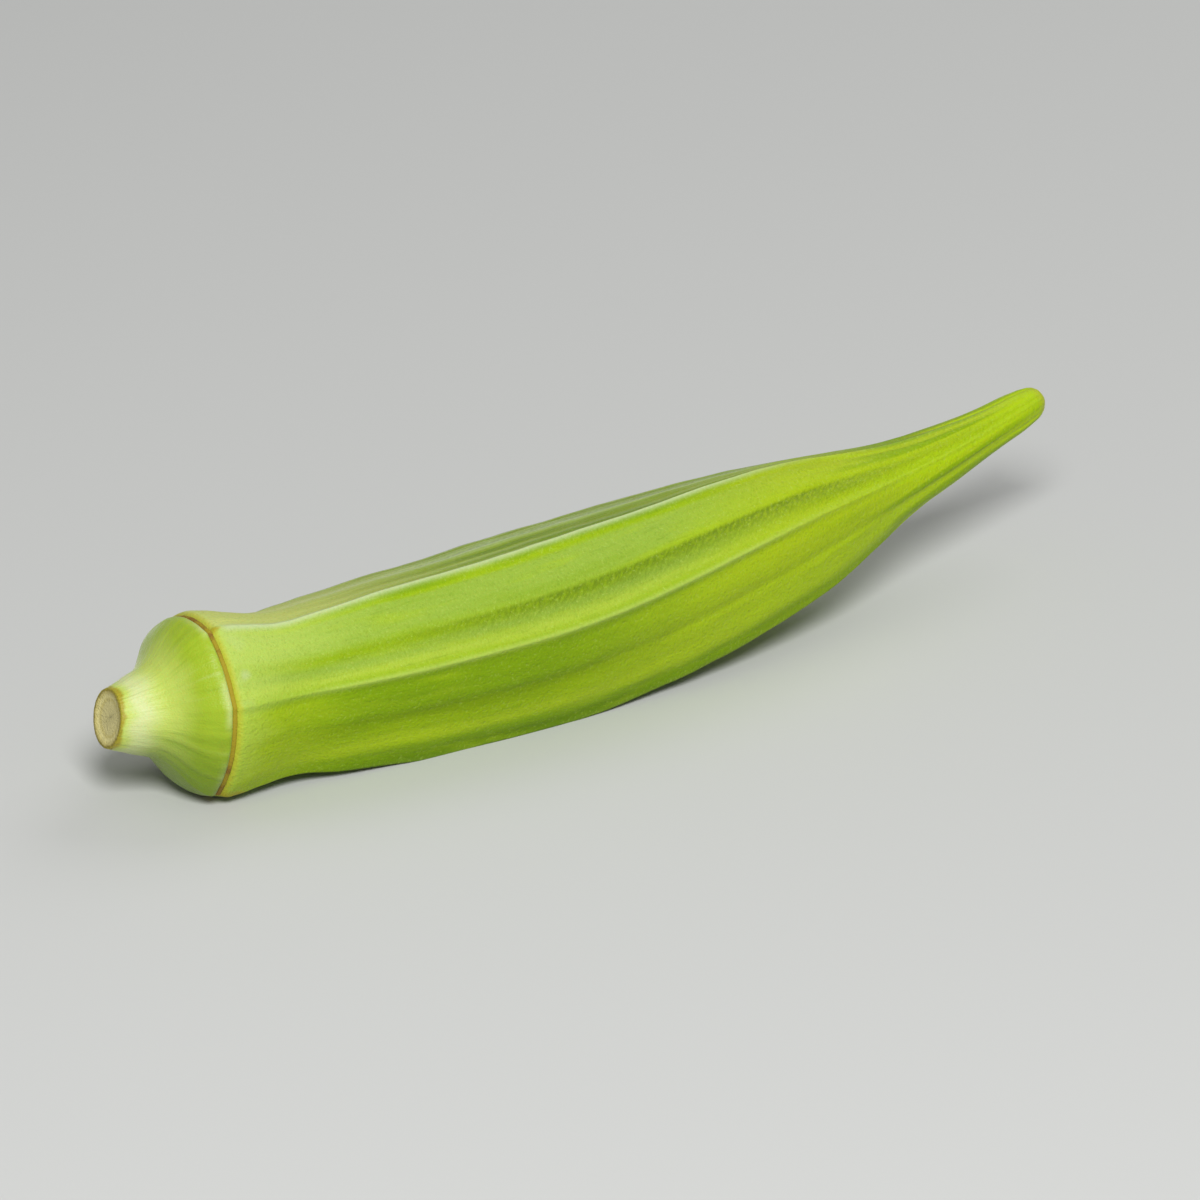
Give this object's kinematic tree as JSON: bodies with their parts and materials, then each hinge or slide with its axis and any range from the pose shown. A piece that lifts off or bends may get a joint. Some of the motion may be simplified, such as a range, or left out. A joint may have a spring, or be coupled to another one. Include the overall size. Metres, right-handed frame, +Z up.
{
  "type": "okra pod",
  "caption": "Long tapered vegetable pod with lengthwise ridges: a short cut stem flares into a ringed cap, and the far end thins to a beak that curves up.",
  "frame": {"origin": "on the surface the pod lies on, under the middle of its bounding box", "axes": "+X along the pod, from the cut stem to the tip; +Z up; the pod bows towards -Y"},
  "size_m": [0.1298, 0.0246, 0.0214],
  "materials": {
    "okra_skin": "satin"
  },
  "bodies": {
    "root": {"okra_pod": "okra_skin"}
  },
  "joints": []
}
